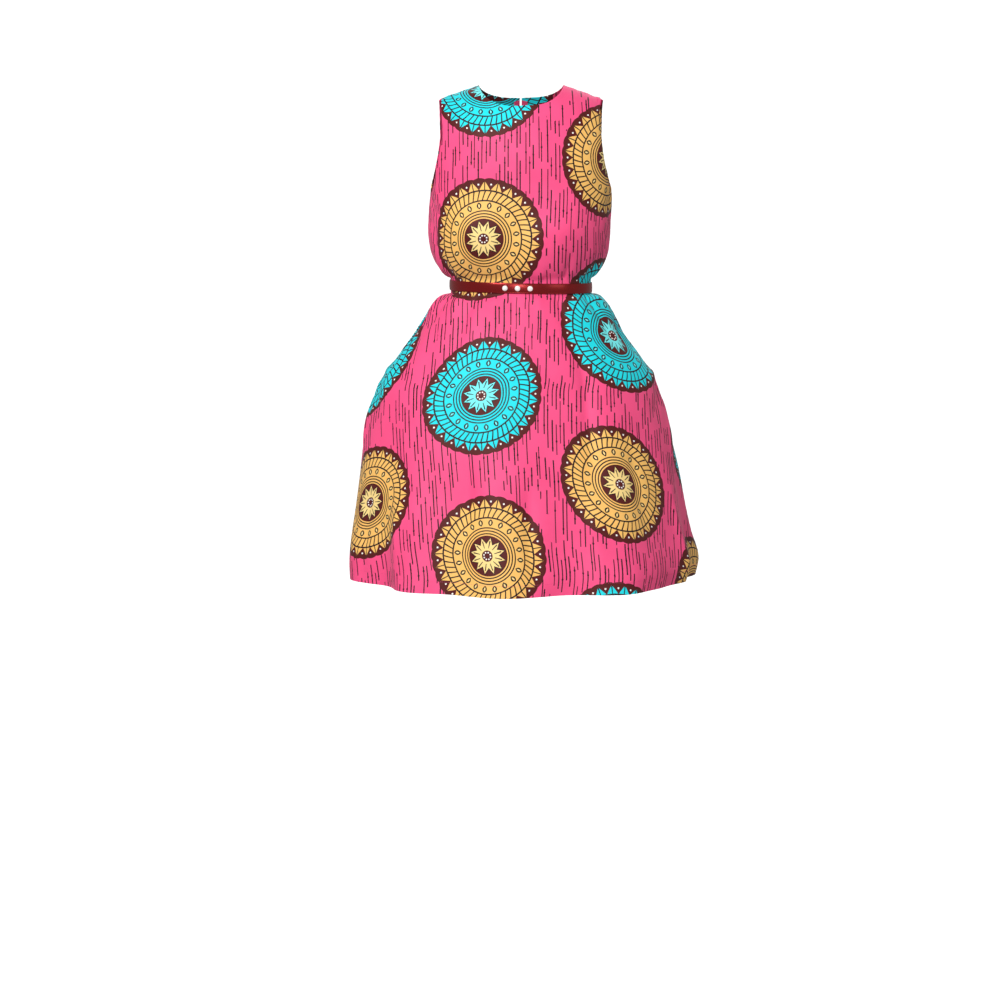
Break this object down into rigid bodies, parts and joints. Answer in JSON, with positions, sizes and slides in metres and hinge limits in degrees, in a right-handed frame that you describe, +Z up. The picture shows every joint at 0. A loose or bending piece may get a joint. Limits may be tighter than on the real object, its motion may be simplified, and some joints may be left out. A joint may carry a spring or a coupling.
{
  "type": "wax print dress",
  "caption": "Sleeveless fit-and-flare knee-length dress with a high round neck, side-seam pockets, a centre-back zip and a thin patent belt, hollow as worn.",
  "frame": {"origin": "midway between the two shoulders, at the level of the shoulder seams", "axes": "+Z up, the front of the dress faces -Y, the wearer's left side is at +X"},
  "size_m": [0.6052, 0.5017, 0.8464],
  "materials": {
    "wax_print": "printed cotton, crisp, faintly glazed",
    "pocket_cotton": "plain cotton",
    "zip_tape": "woven tape",
    "zip_metal": "bright nickel",
    "red_patent": "patent gloss",
    "white_stud": "pearl white gloss"
  },
  "bodies": {
    "dress": {"bodice_front": "wax_print", "bodice_back_left": "wax_print", "bodice_back_right": "wax_print", "skirt_front": "wax_print", "skirt_back_left": "wax_print", "skirt_back_right": "wax_print", "pocket_left": "pocket_cotton", "pocket_right": "pocket_cotton", "zip_tape": "zip_tape", "zip_slider": "zip_metal", "belt_strap": "red_patent", "belt_stud_1": "white_stud", "belt_stud_2": "white_stud", "belt_stud_3": "white_stud", "belt_snap": "zip_metal"},
    "zip_pull": {"zip_pull": "zip_metal"}
  },
  "joints": [
    {"name": "zip_pull_hinge", "type": "hinge", "parent": "dress", "child": "zip_pull", "pos_m": [0, 0.08019, -0.03313], "axis": [1, 0, 0], "range_deg": [0, 150]}
  ]
}
